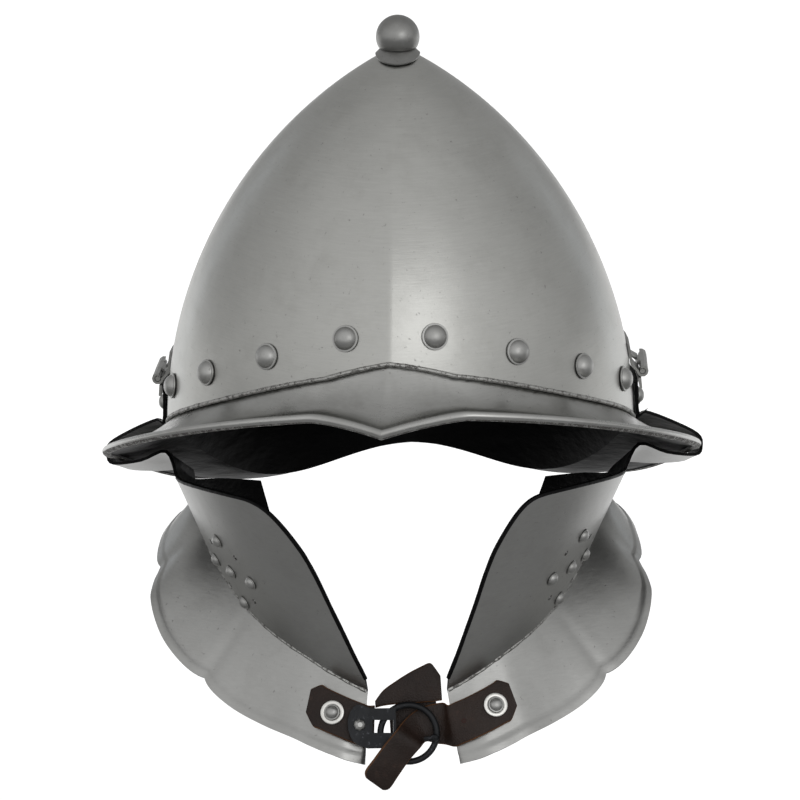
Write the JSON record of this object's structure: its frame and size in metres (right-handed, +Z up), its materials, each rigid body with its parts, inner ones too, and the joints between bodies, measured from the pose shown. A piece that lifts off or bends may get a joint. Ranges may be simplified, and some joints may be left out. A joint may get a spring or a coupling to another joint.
{
  "type": "burgonet helmet",
  "caption": "Steel burgonet helmet: pointed skull with a finial, pointed peak and brim, hinged cheek plates with scalloped flares, and a leather chin strap with a ring buckle.",
  "frame": {"origin": "the middle of the top of the wearer's head, on the axis of the finial, 45 mm under the inside of the skull's point", "axes": "+Z up along the finial, -Y forward through the peak, +X to the right as seen from the front"},
  "size_m": [0.2906, 0.2964, 0.3413],
  "materials": {
    "steel": "satin, brushed by hand",
    "black_steel": "black, semi-gloss",
    "washer_zinc": "zinc plated",
    "leather": "smooth dark brown"
  },
  "bodies": {
    "root": {"skull": "steel", "brim": "steel", "finial": "steel", "cheek_plate_left": "steel", "cheek_plate_right": "steel", "buckle_rivet": "steel", "strap_rivet_left": "steel", "strap_rivet_right": "steel", "brow_rivet_01": "steel", "brow_rivet_02": "steel", "brow_rivet_03": "steel", "brow_rivet_04": "steel", "brow_rivet_05": "steel", "brow_rivet_06": "steel", "brow_rivet_07": "steel", "brow_rivet_08": "steel", "brow_rivet_09": "steel", "brow_rivet_10": "steel", "brow_rivet_11": "steel", "brow_rivet_12": "steel", "brow_rivet_13": "steel", "brow_rivet_14": "steel", "brow_rivet_15": "steel", "brow_rivet_16": "steel", "brow_rivet_17": "steel", "brow_rivet_18": "steel", "ear_rivet_left_1": "steel", "ear_rivet_left_2": "steel", "ear_rivet_left_3": "steel", "ear_rivet_left_4": "steel", "ear_rivet_left_5": "steel", "ear_rivet_right_1": "steel", "ear_rivet_right_2": "steel", "ear_rivet_right_3": "steel", "ear_rivet_right_4": "steel", "ear_rivet_right_5": "steel", "buckle_plate": "black_steel", "buckle_prong": "black_steel", "buckle_ring": "black_steel", "hinge_skull_leaf_left": "black_steel", "hinge_skull_leaf_right": "black_steel", "hinge_cheek_leaf_left": "black_steel", "hinge_cheek_leaf_right": "black_steel", "hinge_pin_left": "black_steel", "hinge_pin_right": "black_steel", "strap_washer_left": "washer_zinc", "strap_washer_right": "washer_zinc", "strap_left": "leather", "strap_right": "leather", "strap_fold": "leather"}
  },
  "joints": []
}
